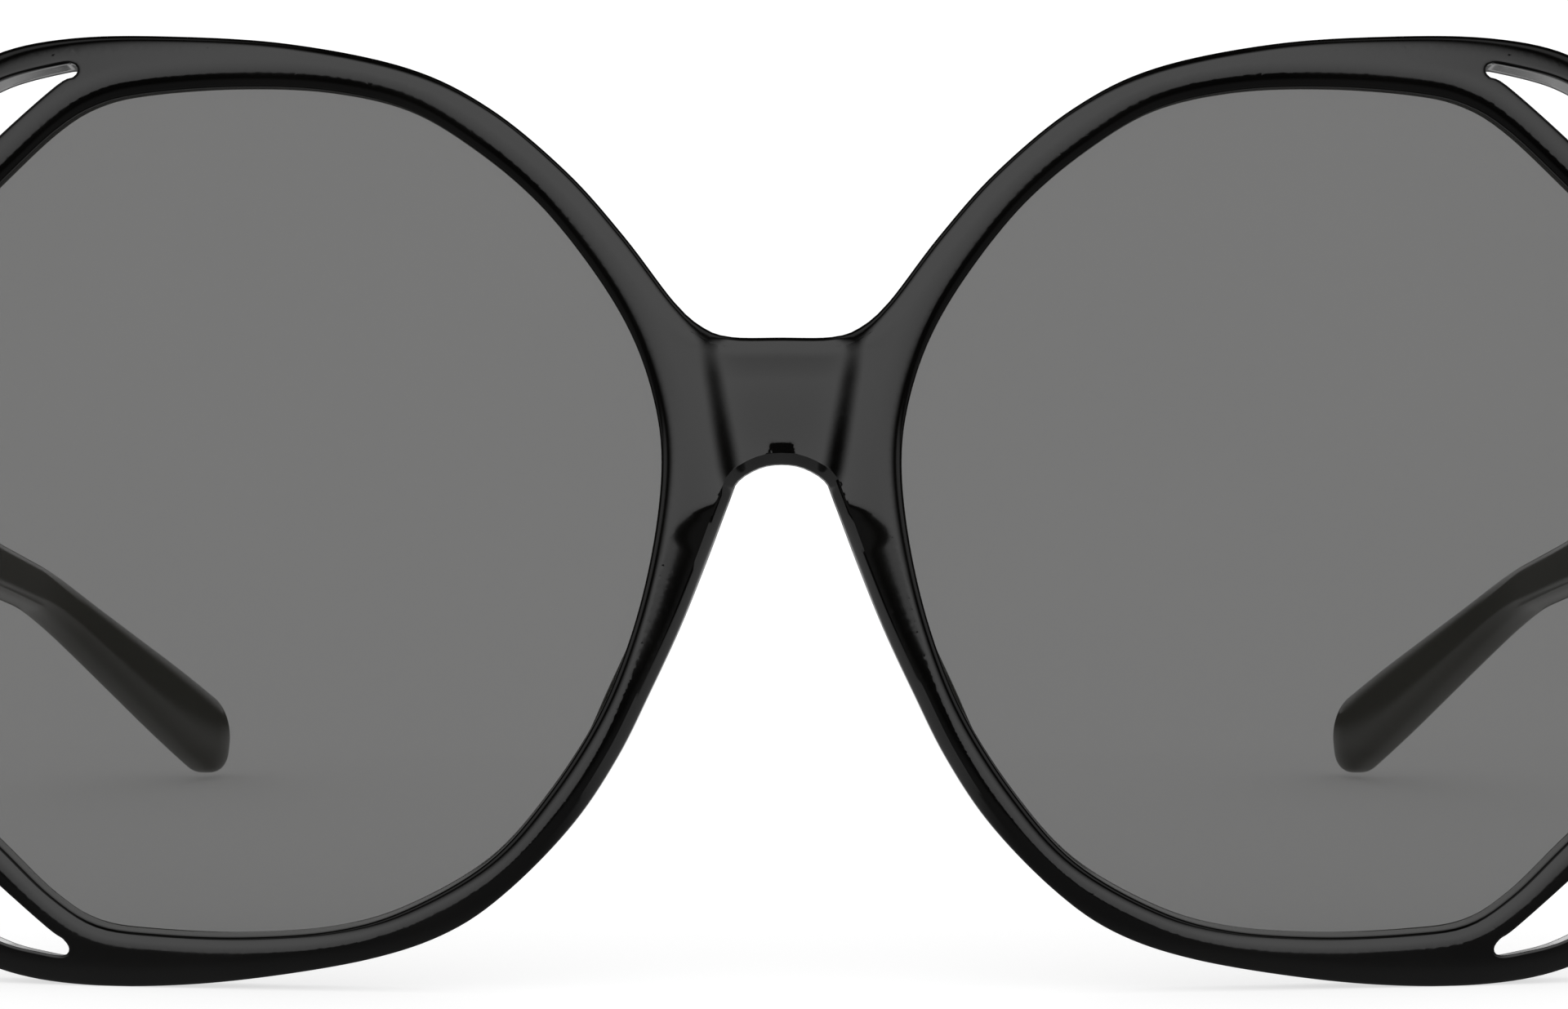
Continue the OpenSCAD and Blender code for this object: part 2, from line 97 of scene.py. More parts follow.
CURVE_STEP, SLIT_STEP, LOW_STRETCH = .8, .26, 1.02


def between(a, b, c, d, t):
    """Place at a share t of the way from b to c, on the Catmull-Rom spline through a, b, c and d."""
    return .5 * (2 * b + (c - a) * t + (2 * a - 5 * b + 4 * c - d) * t * t + (3 * b - a - 3 * c + d) * t ** 3)


def spline(points, spacing, least=3):
    """Points on the closed curve through these, about so far apart, and at least so many for each."""
    p = [np.array(q, float) for q in points]
    curve = []
    for i in range(len(p)):
        a, b, c, d = p[i - 1], p[i], p[(i + 1) % len(p)], p[(i + 2) % len(p)]
        steps = max(least, round(float(np.linalg.norm(c - b)) / spacing))
        curve += [between(a, b, c, d, k / steps) for k in range(steps)]
    return np.array(curve)


def scaled(shares, w, h, x=0.0):
    return [(x + sx * w, sz * h) for sx, sz in shares]


def other_side(points):
    """The mirrored curve, running the same way round."""
    return points[::-1] * (-1, 1)


half = scaled(OUTLINE, HALF_W, HALF_H)
outline = spline(half + [(-x, z) for x, z in half[-2:0:-1]], CURVE_STEP)
opening = spline(scaled(OPENING, LENS_W / 2, LENS_H / 2, LENS_X), CURVE_STEP)
opening[:, 1] *= np.where(opening[:, 1] < 0, LOW_STRETCH, 1)
slits = [spline(scaled(shares, HALF_W, HALF_H), SLIT_STEP) for shares in (UPPER_SLIT, LOWER_SLIT)]
openings = [opening, other_side(opening)]
crescents = slits + [other_side(slit) for slit in slits]
print("points on the outline, a lens opening and the crescents:", len(outline), len(opening),
      [len(slit) for slit in slits])


# %% [markdown]
# ## Bending over a ball
# Heated acetate takes the curve of a ball with a radius of about 240 mm. A place on the flat sheet and a depth
# behind its face give a place on the bent one. The outer walls point at the middle of the ball. The openings
# are milled afterwards, so their walls lean less: to the sides, up and down by their own shares.

# %% From the flat sheet to the bent front
BATCH = 2000


def bent(x, z, depth, lean_x=1.0, lean_z=1.0, lift=0.0):
    """Place of a flat point x, z at a depth behind the face, in the wearer's frame. The leans are 1 for a wall
    that points at the middle of the ball and 0 for one that runs straight back. Lift raises it with depth."""
    qx = x * (1 - lean_x * depth / WRAP_R)
    qz = z * (1 - lean_z * depth / WRAP_R) + lift * depth
    return Vector((qx, WRAP_R - math.sqrt((WRAP_R - depth) ** 2 - qx * qx - qz * qz), qz))


def nearest(points, curve):
    """Distance of each point to a closed curve, and the place on the curve that it is nearest to."""
    ahead = np.roll(curve, -1, axis=0) - curve
    distance, place = np.empty(len(points)), np.empty((len(points), 2))
    for start in range(0, len(points), BATCH):
        p = points[start:start + BATCH, None, :]
        t = np.clip(((p - curve) * ahead).sum(2) / (ahead * ahead).sum(1), 0, 1)
        foot = curve + t[..., None] * ahead
        d = np.linalg.norm(p - foot, axis=2)
        best = np.arange(len(p)), d.argmin(1)
        distance[start:start + BATCH], place[start:start + BATCH] = d[best], foot[best]
    return distance, place


def roll(d, width, depth):
    """Depth of a rounded edge at a distance d from it: a quarter of an ellipse."""
    s = np.clip(1 - d / width, 0, 1)
    return depth * (1 - np.sqrt(np.clip(1 - s * s, 0, 1)))


def smoothstep(a, b, v):
    """Smooth change from 0 to 1 while v goes from a to b."""
    t = np.clip((v - a) / (b - a), 0, 1)
    return t * t * (3 - 2 * t)


print("the bend sets the outer edge back by", round(bent(HALF_W, 0, 0).y, 1), "mm")


# %% [markdown]
# ## Finishes
# Polished acetate is nearly black and mirror-like, with a slow waviness from the polishing wheel and the finest
# scratches. Materials are written as expressions on sockets: a small class wraps a socket, and arithmetic on it
# adds the Math nodes.

# %% Sockets with arithmetic
class Sock:
    """A node tree's output socket that can be calculated with."""

    def __init__(self, tree, out):
        self.tree, self.out = tree, out

    def _math(self, op, *values):
        return make_node(self.tree, "ShaderNodeMath", dict(enumerate(values)), operation=op)

    def __add__(self, o):
        return self._math("ADD", self, o)

    __radd__ = __add__

    def __mul__(self, o):
        return self._math("MULTIPLY", self, o)

    __rmul__ = __mul__

    def __sub__(self, o):
        return self._math("SUBTRACT", self, o)

    def __rsub__(self, o):
        return self._math("SUBTRACT", o, self)

    def __truediv__(self, o):
        return self._math("DIVIDE", self, o)

    def ramp(self, low, high, to_low=0.0, to_high=1.0):
        """Smooth change from one value to another while this one goes from low to high."""
        return make_node(self.tree, "ShaderNodeMapRange", {0: self, 1: low, 2: high, 3: to_low, 4: to_high},
                         interpolation_type="SMOOTHSTEP")


def make_node(tree, kind, inputs=(), out=0, **settings):
    """A new node with its settings and inputs, as the wrapper of one of its outputs."""
    node = tree.nodes.new(kind)
    for key, value in settings.items():
        setattr(node, key, value)
    for key, value in dict(inputs).items():
        socket = node.inputs[key]
        if isinstance(value, Sock):
            tree.links.new(value.out, socket)
        else:
            socket.default_value = value
    return Sock(tree, node.outputs[out])


def new_material(name, **constants):
    """A Principled material with its constants set on the shader's own sockets."""
    material = bpy.data.materials.new(name)
    material.use_nodes = True
    shader = material.node_tree.nodes["Principled BSDF"]
    for key, value in constants.items():
        shader.inputs[key.replace("_", " ")].default_value = value
    return material, material.node_tree, shader


def feed(shader, name, sock):
    sock.tree.links.new(sock.out, shader.inputs[name])


def mixed(tree, factor, a, b):
    """A colour between two, by a factor."""
    return make_node(tree, "ShaderNodeMix", {0: factor, 6: a, 7: b}, out=2, data_type="RGBA")


def object_place(tree):
    return make_node(tree, "ShaderNodeTexCoord", out=3)


def noise(tree, place, scale, detail):
    return make_node(tree, "ShaderNodeTexNoise", {"Vector": place, "Scale": scale, "Detail": detail})


def axes_of(sock):
    """The x, y and z of a vector."""
    node = sock.tree.nodes.new("ShaderNodeSeparateXYZ")
    sock.tree.links.new(sock.out, node.inputs[0])
    return [Sock(sock.tree, out) for out in node.outputs]


def ray_kinds(tree):
    """Whether a surface mirrors the ray, and whether the camera sees it, straight or through a lens."""
    path = tree.nodes.new("ShaderNodeLightPath")
    seen = Sock(tree, path.outputs["Is Camera Ray"]) + Sock(tree, path.outputs["Is Transmission Ray"])
    return Sock(tree, path.outputs["Is Glossy Ray"]), seen


print("a socket can be added, multiplied, subtracted, divided and ramped")

# %% Black acetate
BLACK, WORN_BLACK = (.0018, .0017, .0016, 1), (.003, .0028, .0025, 1)
acetate, tree, shader = new_material("black_acetate", IOR=1.49)
place = object_place(tree)
cloud, grain = noise(tree, place, 90.0, 3.0), noise(tree, place, 2600.0, 2.0)
wave = noise(tree, place, 34.0, 1.0)
feed(shader, "Base Color", mixed(tree, cloud.ramp(.35, .7), BLACK, WORN_BLACK))
feed(shader, "Roughness", cloud.ramp(.3, .7, .07, .12) + grain.ramp(.55, .8, 0, .04))
uneven = {"Strength": .12, "Distance": .0004, "Height": wave + grain * .004}
feed(shader, "Normal", make_node(tree, "ShaderNodeBump", uneven))
print("black acetate:", len(tree.nodes), "nodes")

# %% [markdown]
# The lenses are grey tinted plastic with a reflection-reducing coat, so they mirror far less than the frame.
# Light passes their front and back face, and each lets through the square root of what the pair lets through.

# %% Grey lens
LENS_PASS = .153
TINT, LIGHT_TINT = (.016, .0155, .012, 1), (.019, .018, .014, 1)
lens_tint, tree, shader = new_material("grey_lens", IOR=1.12, Alpha=1 - math.sqrt(LENS_PASS))
haze = noise(tree, object_place(tree), 60.0, 2.0)
feed(shader, "Base Color", mixed(tree, haze.ramp(.3, .7), TINT, LIGHT_TINT))
feed(shader, "Roughness", haze.ramp(.3, .7, .02, .04))
print("each face of a lens lets through", round(math.sqrt(LENS_PASS), 3))

# %% [markdown]
# The hinges are satin steel. Noise that is drawn out along one axis gives the fine lines that a brush leaves.

# %% Satin steel of the hinges
STEEL, BRIGHT_STEEL = (.52, .52, .53, 1), (.66, .66, .66, 1)
steel, tree, shader = new_material("hinge_steel", Metallic=1.0)
drawn_out = {"Vector": object_place(tree), "Scale": (900.0, 900.0, 12000.0)}
brush = noise(tree, make_node(tree, "ShaderNodeMapping", drawn_out), 1.0, 3.0)
feed(shader, "Base Color", mixed(tree, brush.ramp(.3, .7), STEEL, BRIGHT_STEEL))
feed(shader, "Roughness", brush.ramp(.3, .7, .22, .36))
scratched = {"Strength": .15, "Distance": .00005, "Height": brush}
feed(shader, "Normal", make_node(tree, "ShaderNodeBump", scratched))
print("steel:", len(tree.nodes), "nodes")


# %% [markdown]
# ## From a bmesh to a piece
# Every piece is drawn in the wearer's frame in millimetres. This helper stands it up, makes it smooth with
# crisp edges where two faces meet steeply, and lets it ride on its body.

# %% A finished piece
CRISP = 38


def finish_piece(name, bm, material, body, replaced=(), sharp=CRISP):
    bmesh.ops.transform(bm, matrix=stand, verts=bm.verts)
    bmesh.ops.recalc_face_normals(bm, faces=bm.faces)
    for face in bm.faces:
        face.smooth = True
    for edge in bm.edges:
        edge.smooth = not edge.is_manifold or edge.calc_face_angle(0) < math.radians(sharp)
    mesh = bpy.data.meshes.new(name)
    bm.to_mesh(mesh)
    bm.free()
    obj = bpy.data.objects.new(name, mesh)
    bpy.context.scene.collection.objects.link(obj)
    mesh.materials.append(material)
    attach(obj, body)
    if replaced:
        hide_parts(*replaced)
    print(name, "faces:", len(mesh.polygons))


def mirror_bm(bm):
    """The same drawing for the wearer's right side."""
    other = bm.copy()
    bmesh.ops.scale(other, vec=(-1, 1, 1), verts=other.verts)
    return other


print("edges are crisp from", CRISP, "degrees")


# %% [markdown]
# ## The front
# The real front is routed from sheet, its edges are tumbled round and it is bent. Here a flat sheet is filled
# between the outlines and insets lay rings of faces along every edge. Within them long edges are divided,
# triangles swap their diagonals and points relax, until the triangles are even, finest at the bridge. A copy
# becomes the back, and each point moves to its place on the ball, sunk by the rounding of its nearest edges.

# %% Flat sheet with rings along its edges
RING_STEPS = (.03, .07, .1, .15, .2, .2)
SIZE, FINE_SIZE = .42, .28
FINE_X, FINE_LOW, FINE_HIGH = 22, -28, 13
ROUNDS, RELAXES = 9, 3
WALL_CUTS = 3
MERGE = .001


def add_loop(bm, points):
    ring = bmesh.ops.create_circle(bm, segments=len(points), radius=1)["verts"]
    for vert, (x, z) in zip(ring, points):
        vert.co = (x, 0, z)


def inner_edges(bm):
    """Edges with marked faces only."""
    return [e for e in bm.edges if all(f.material_index for f in e.link_faces)]


def even_out(bm, goal):
    """Divide the long edges of the marked faces, swap edges for rounder triangles and relax the points."""
    for _ in range(ROUNDS):
        long = [e for e in inner_edges(bm) if e.calc_length() > goal((e.verts[0].co + e.verts[1].co) / 2)]
        bmesh.ops.subdivide_edges(bm, edges=long, cuts=1)
        bmesh.ops.triangulate(bm, faces=[f for f in bm.faces if f.material_index and len(f.verts) > 3])
        marked = [f for f in bm.faces if f.material_index]
        bmesh.ops.beautify_fill(bm, faces=marked, edges=inner_edges(bm), method="ANGLE")
        free = [v for v in bm.verts if all(f.material_index for f in v.link_faces)]
        for _ in range(RELAXES):
            bmesh.ops.smooth_vert(bm, verts=free, factor=.5, use_axis_x=True, use_axis_y=True,
                                  use_axis_z=True)


def flat_sheet(bm, loops, steps, goal):
    """A flat sheet between closed curves, with rings of these widths along them and even triangles within."""
    for points in loops:
        add_loop(bm, points)
    bmesh.ops.triangle_fill(bm, use_beauty=True, use_dissolve=False, edges=bm.edges, normal=(0, -1, 0))
    inner = bm.faces[:]
    for step in steps:
        bmesh.ops.inset_region(bm, faces=inner, thickness=step, use_even_offset=True, use_boundary=True)
    for face in inner:
        face.material_index = 1
    even_out(bm, goal)
    for face in bm.faces:
        face.material_index = 0


def close_sheet(bm):
    """A back and walls for a flat sheet: y counts from 0 on the face to 1 on the back."""
    edges = [e for e in bm.edges if e.is_boundary]
    back = bmesh.ops.duplicate(bm, geom=bm.verts[:] + bm.edges[:] + bm.faces[:])["geom"]
    wall = bmesh.ops.extrude_edge_only(bm, edges=edges)["geom"]
    moved = [g for g in back + wall if isinstance(g, bmesh.types.BMVert)]
    bmesh.ops.translate(bm, vec=(0, 1, 0), verts=moved)
    bmesh.ops.remove_doubles(bm, verts=bm.verts, dist=MERGE)
    upright = [e for e in bm.edges if abs(e.verts[0].co.y - e.verts[1].co.y) > .5]
    bmesh.ops.subdivide_edges(bm, edges=upright, cuts=WALL_CUTS, use_grid_fill=True)


def triangle_goal(at):
    """How long an edge may be at a place."""
    return FINE_SIZE if abs(at.x) < FINE_X and FINE_LOW < at.z < FINE_HIGH else SIZE


bm = bmesh.new()
flat_sheet(bm, [outline] + openings + crescents, RING_STEPS, triangle_goal)
print("flat sheet:", len(bm.faces), "faces")
close_sheet(bm)
print("front with its back and walls:", len(bm.faces), "faces")

# %% [markdown]
# The edges are not all alike. The sides of the nose gap roll back widely, most near their top, so that they lie
# soft on the skin, and a narrow bevel follows the whole gap. The lens openings are rounded more at their tops
# than at their bottoms, and the crescents hardly at all. Between the rims the bridge is sunk like a saddle,
# whose two slopes mirror the dark beside the panel as soft upright stripes. A small flat notch is filed into it
# in the middle above the gap. Each rounding is a width along the face and a depth behind it.

# %% Bend the front
EDGE, BACK_EDGE = (1.5, .5), (1.0, .8)
NOSE, NOSE_TOP, ARCH_LESS = (1.1, .6), (1.3, .62), (1.15, .42)
OPENING_TOP, OPENING_BOTTOM, OPENING_BACK = (2.3, .8), (1.35, .5), (.5, .35)
CRESCENT_EDGE = (.2, .08)
OPENING_WALL, CRESCENT_WALL, OUTER_WALL = (.12, .41, .08), (.5, .42, -.04), (1.0, 1.0, 0.0)
WALL_NEAR, WALL_FAR = .4, 2.2
BEVEL_W, BEVEL_SLOPE = sum(RING_STEPS), 1.5
NOTCH_SLOPE, NOTCH_REACH, NOTCH_HALF = .2, 1.5, 1.0
SADDLE_D, SADDLE_X, SADDLE_WIDER, SADDLE_Z, SADDLE_SOFT = .56, 3.9, .17, 3.3, 1.3

flat = np.array([(v.co.x, v.co.z) for v in bm.verts])
mark = np.array([v.co.y for v in bm.verts])
outer_d, edge = nearest(flat, outline)
edge_x, edge_z = np.abs(edge[:, 0]), edge[:, 1]
nose = smoothstep(20, 8, edge_x) * smoothstep(.8, -3.8, edge_z) * smoothstep(-24, -7, edge_z)
nose_top = smoothstep(-14, -3, edge_z)
arch = smoothstep(12, 9, edge_x) * smoothstep(9, 7, edge_z) * smoothstep(-1.5, .8, edge_z)
bevel = smoothstep(20, 12, edge_x) * smoothstep(8, 5, edge_z) * smoothstep(-30, -18, edge_z)
width, depth = (EDGE[i] + (NOSE[i] + NOSE_TOP[i] * nose_top) * nose - ARCH_LESS[i] * arch for i in (0, 1))
face_sink = roll(outer_d, width, depth)
face_sink += bevel * np.clip(BEVEL_W - outer_d, 0, 1) * BEVEL_SLOPE
notch = smoothstep(NOTCH_HALF, NOTCH_HALF * .75, np.abs(flat[:, 0])) * arch
face_sink += NOTCH_SLOPE * notch * np.clip(NOTCH_REACH - outer_d, 0, 2)
back_sink = roll(outer_d, *BACK_EDGE)
walls = np.tile(OUTER_WALL, (len(flat), 1))


def soften(curve, at_top, at_bottom, wall):
    """Round an opening's edges, with a width and depth for its top and its bottom, and turn its walls."""
    d, foot = nearest(flat, curve)
    top = smoothstep(-12, 12, foot[:, 1])
    width, depth = (a * top + b * (1 - top) for a, b in zip(at_top, at_bottom))
    np.maximum(face_sink, roll(d, width, depth), out=face_sink)
    np.maximum(back_sink, roll(d, *OPENING_BACK), out=back_sink)
    near = smoothstep(WALL_FAR, WALL_NEAR, d)[:, None]
    walls[:] = walls * (1 - near) + np.array(wall) * near


for curve in openings:
    soften(curve, OPENING_TOP, OPENING_BOTTOM, OPENING_WALL)
for curve in crescents:
    soften(curve, CRESCENT_EDGE, CRESCENT_EDGE, CRESCENT_WALL)
height = flat[:, 1]
slope_x = SADDLE_X + SADDLE_WIDER * np.clip(height - SADDLE_Z, -3, 8)
saddle = SADDLE_D * (1 - np.tanh((np.abs(flat[:, 0]) - slope_x) / SADDLE_SOFT)) * smoothstep(-3.5, 3, height)
saddle *= 1 - .08 * smoothstep(4, 9, height) - .2 * smoothstep(9, 13, height)
print("the saddle of the bridge is", round(float(saddle.max()), 2), "mm deep")
for v, (x, z), m, f, b, s, wall in zip(bm.verts, flat, mark, face_sink, back_sink, saddle, walls):
    v.co = bent(x, z, (1 - m) * (f + s) + m * (FRONT_T - b), *wall)
finish_piece("front", bm, acetate, "front", ["front_frame"])


# %% [markdown]
# ## End pieces and temples
# An end piece turns back beside the hinge, and the temple continues it. A grid is wrapped into a tube, and each
# of its points is moved to its place on a rounded section that travels along the path. The path runs straight
# to the ear, bends over it and runs down to the tip.

# %% Paths and sections
END_OUT, TURN_BACK, BUTT_GAP = 2.0, 2.3, .2
TEMPLE_L, TIP_L, BEND_R = 94.9, 43.1, 45.0
TEMPLE_H, EAR_H, TIP_H, TEMPLE_T, TIP_T = 9.2, 3.6, 6.5, 3.8, 3.1
TEMPLE_IN, TEMPLE_DOWN, TIP_IN, TIP_DOWN = 5.5, 2.3, 18, 15.9
SPREAD = .02
end_in_x = HALF_W + END_OUT - TEMPLE_T


def heading(inward, down):
    a, b = math.radians(inward), math.radians(down)
    return Vector((-math.sin(a) * math.cos(b), math.cos(a) * math.cos(b), -math.sin(b)))


run, fall = heading(TEMPLE_IN, TEMPLE_DOWN), heading(TIP_IN, TIP_DOWN)
bend_angle = run.angle(fall)
bend_side = (fall - run * run.dot(fall)).normalized()
bend_reach = BEND_R * math.tan(bend_angle / 2)
bend_arc = BEND_R * bend_angle
temple_start = Vector((end_in_x + TEMPLE_T / 2, HINGE.y, HINGE.z))
straight_l = TEMPLE_L - bend_reach
path_l = TEMPLE_L + TIP_L - 2 * bend_reach + bend_arc
bend_start = temple_start + run * straight_l


def temple_place(s):
    """Place and direction at a distance along the temple."""
    a = min(max((s - straight_l) / BEND_R, 0), bend_angle)
    way = run * math.cos(a) + bend_side * math.sin(a)
    if s <= straight_l:
        return temple_start + run * s, way
    return (bend_start + run * BEND_R * math.sin(a) + bend_side * BEND_R * (1 - math.cos(a))
            + fall * max(0, s - straight_l - bend_arc)), way


# Share of the length, then how far the section has thinned to the ear's and widened to the tip's
THINNING = [(0, 0, 0), (.09, .22, 0), (.2, .52, 0), (.35, .8, 0), (.5, .95, 0), (.66, 1, 0), (.74, 1, .15),
            (.82, 1, .5), (.9, 1, .86), (.96, 1, 1), (1.01, 1, 1)]


def from_table(table, share, column):
    return float(np.interp(share, [row[0] for row in table], [row[column] for row in table]))


def thinned(s, column):
    """Smooth value of the table at a distance along the temple."""
    return sum(from_table(THINNING, s / path_l + k * SPREAD, column) for k in (-1, 0, 1)) / 3


def bar_h(s):
    return TEMPLE_H + (EAR_H - TEMPLE_H) * thinned(s, 1) + (TIP_H - EAR_H) * thinned(s, 2)


def bar_t(s):
    return TEMPLE_T + (TIP_T - TEMPLE_T) * thinned(s, 1)


def rounded(angle, w, h, squareness):
    """Point of a superellipse of width w and height h."""
    c, s = math.cos(angle), math.sin(angle)
    return (w / 2 * math.copysign(abs(c) ** squareness, c), h / 2 * math.copysign(abs(s) ** squareness, s))


def wrap_tube(bm, around, along_count, place_at):
    """A grid closed into a tube: place_at(angle, station number) gives each point."""
    made = bmesh.ops.create_grid(bm, x_segments=around, y_segments=along_count - 1, size=.5)["verts"]
    for v in made:
        angle = round((v.co.x + .5) * around) / around * 2 * math.pi
        v.co = place_at(angle, round((v.co.y + .5) * (along_count - 1)))
    bmesh.ops.remove_doubles(bm, verts=made, dist=1e-5)
    rims = [e for e in bm.edges if e.is_boundary]
    bmesh.ops.holes_fill(bm, edges=rims, sides=0)


print("length along a temple:", round(path_l, 1), "mm")

# %% Temples
TIP_ROUND, BUTT_ROUND, TURN_L = TIP_H * .75, .3, 14
SQUARE, SIDES = .62, 48
RUN_N, BEND_N, TIP_N, CAP_N = 26, 10, 8, 12
tip_run = path_l - TIP_ROUND - straight_l - bend_arc
stations = ([(0, 1 - .6), (.06, 1 - .3), (.16, 1 - .1), (BUTT_ROUND, 1)]
            + [(BUTT_ROUND + i / RUN_N * (straight_l - BUTT_ROUND), 1) for i in range(1, RUN_N + 1)]
            + [(straight_l + i / BEND_N * bend_arc, 1) for i in range(1, BEND_N + 1)]
            + [(straight_l + bend_arc + i / TIP_N * tip_run, 1) for i in range(1, TIP_N + 1)]
            + [(path_l - TIP_ROUND * (1 - math.sin(a)), math.cos(a)) for a in np.linspace(.12, 1.5, CAP_N)])


def temple_point(angle, k):
    s, size = stations[k]
    at, way = temple_place(s)
    turn = float(smoothstep(0, TURN_L, s))
    way = (Vector((0, 1, 0)) * (1 - turn) + way * turn).normalized()
    wide = Vector((way.y, -way.x, 0)).normalized()
    high = wide.cross(way)
    w, h = bar_t(s), bar_h(s)
    if s < BUTT_ROUND:
        w, h = w - 2 * BUTT_ROUND * (1 - size), h - 2 * BUTT_ROUND * (1 - size)
    elif size < 1:
        w, h = w * (.3 + .7 * size) * min(1, size * 4), h * size
    a, b = rounded(angle, w, h, SQUARE)
    return at + wide * a + high * b + Vector((0, BUTT_GAP / 2, 0)) * (1 - turn)


def finish_pair(name, bm, material, bodies, replaced=None):
    """The left piece and its mirrored copy, each on its own body."""
    for side, drawing, body in zip(("left", "right"), (bm, mirror_bm(bm)), bodies):
        nodes = [replaced + "_" + side] if replaced else ()
        finish_piece(name + "_" + side, drawing, material, body, nodes)


bm = bmesh.new()
wrap_tube(bm, SIDES, len(stations), temple_point)
finish_pair("temple_arm", bm, acetate, ("left_temple", "right_temple"), "temple")

# %% [markdown]
# The end piece starts square beside the butt of the temple. It thins towards the front and grows higher, until
# it is inside the front.

# %% End pieces
# Share of the reach, then shares of the temple's thickness and height
END_SHARES = [(0, 1, 1), (.35, 1, 1.06), (.62, .97, 1.16), (.82, .8, 1.25), (1, .45, 1.3)]
END_STATIONS = [(0, .6), (.012, .3), (.03, .1), (.055, 0)] + [(t, 0) for t in np.linspace(.1, 1, 12)]
end_reach = TURN_BACK + FRONT_T * .8


def end_point(angle, k):
    t, inset = END_STATIONS[k]
    thick, high = TEMPLE_T * from_table(END_SHARES, t, 1), TEMPLE_H * from_table(END_SHARES, t, 2)
    a, b = rounded(angle, thick - 2 * BUTT_ROUND * inset, high - 2 * BUTT_ROUND * inset, SQUARE)
    return Vector((end_in_x + thick / 2 + a, HINGE.y - BUTT_GAP / 2 - t * end_reach, HINGE.z + b))


bm = bmesh.new()
wrap_tube(bm, SIDES, len(END_STATIONS), end_point)
finish_pair("end_piece", bm, acetate, ("front", "front"))

# %% [markdown]
# ## Lenses
# A lens is a thin shell of two concentric balls. A circle filled with triangles, whose spokes are divided,
# gives rings of faces from the middle to the edge, and every point goes to its depth behind the front's face.

# %% Lenses
LENS_SET, LENS_T, GROOVE_D, GROOVE_FIT = 1.2, 1.9, .8, .05
LENS_RINGS = 11


def grown(points, d):
    """Each point of a clockwise outline moved outwards, square to the curve."""
    t = np.roll(points, -1, axis=0) - np.roll(points, 1, axis=0)
    t /= np.linalg.norm(t, axis=1)[:, None]
    return points + d * np.stack([-t[:, 1], t[:, 0]], axis=1)


lens_edge = grown(opening, GROOVE_D - GROOVE_FIT)
bm = bmesh.new()
ring = bmesh.ops.create_circle(bm, cap_ends=True, cap_tris=True, segments=len(lens_edge), radius=1)["verts"]
centre = next(v for v in ring if v.co.length < .01)
rim_verts = sorted((v for v in ring if v is not centre), key=lambda v: -math.atan2(v.co.x, v.co.y))
for vert, (x, z) in zip(rim_verts, lens_edge):
    vert.co = (x, 0, z)
centre.co = (LENS_X, 0, 0)
bmesh.ops.subdivide_edges(bm, edges=centre.link_edges[:], cuts=LENS_RINGS, use_grid_fill=True)
close_sheet(bm)
for v in bm.verts:
    v.co = bent(v.co.x, v.co.z, LENS_SET + v.co.y * LENS_T)
finish_pair("lens_glass", bm, lens_tint, ("front", "front"), "lens")

# %% [markdown]
# ## Nose pads
# The pads are small wedges of the same acetate, cemented behind the rims and polished with them, so no seam
# shows. A section travels along a spline beside the nose gap. It is thin at both ends and deepest between.

# %% Nose pads
PAD_D, PAD_T, PAD_OUT = 5.5, 2.4, .6
PAD_INTO_FRONT, PAD_LEAN = .35, .1
PAD_SQUARE, PAD_SIDES = .8, 32
# Shares of the front's half width and half height, and of the depth
PAD = [(.076, -.1, .3), (.09, -.165, .6), (.106, -.24, .88), (.122, -.315, 1), (.139, -.39, 1),
       (.156, -.465, .88), (.174, -.53, .66), (.195, -.6, .44), (.217, -.66, .3)]
PAD_STATIONS = np.linspace(0, 1, 30)


def pad_point(angle, k):
    t = PAD_STATIONS[k] * (len(PAD) - 1)
    i = min(int(t), len(PAD) - 2)
    a, b, c, d = [np.array(PAD[j]) for j in (max(i - 1, 0), i, i + 1, min(i + 2, len(PAD) - 1))]
    x, z, deep = between(a, b, c, d, t - i)
    x, z = x * HALF_W + PAD_OUT, z * HALF_H
    end = math.sin(math.pi * min(max(PAD_STATIONS[k], .004), .996)) ** .35
    w, h = PAD_T * (.5 + .5 * end), 2 * PAD_D * deep * end
    a, b = rounded(angle, w, h, PAD_SQUARE)
    return bent(x + PAD_T / 2, z, FRONT_T) + Vector((a + PAD_LEAN * max(b, 0), max(b, -PAD_INTO_FRONT), 0))


bm = bmesh.new()
wrap_tube(bm, PAD_SIDES, len(PAD_STATIONS), pad_point)
finish_pair("nose_wedge", bm, acetate, ("front", "front"), "nose_pad")


# %% [markdown]
# ## Hinges
# The hinge solids are right already. Their edges are broken with a small bevel, as tumbled metal has, on merged
# copies. The wire cores of the temples only take on the steel.

# %% Hinges and screws
LEAF_BEVEL, SCREW_BEVEL = .08, .06
SAME_PLANE, STEEP, CRISP_STEEL = math.radians(2), math.radians(40), 50


def bevelled_copy(node, name, body, width):
    bm = bmesh.new()
    bm.from_mesh(frame["nodes"][node].data)
    bmesh.ops.remove_doubles(bm, verts=bm.verts, dist=1e-6)
    bmesh.ops.dissolve_limit(bm, angle_limit=SAME_PLANE, verts=bm.verts, edges=bm.edges)
    steep = [e for e in bm.edges if e.is_manifold and e.calc_face_angle(0) > STEEP]
    bmesh.ops.bevel(bm, geom=steep, offset=width * MM, segments=2, profile=.5, affect="EDGES", material=-1,
                    clamp_overlap=True)
    bmesh.ops.transform(bm, matrix=stand.inverted(), verts=bm.verts)
    finish_piece(name, bm, steel, body, [node], sharp=CRISP_STEEL)


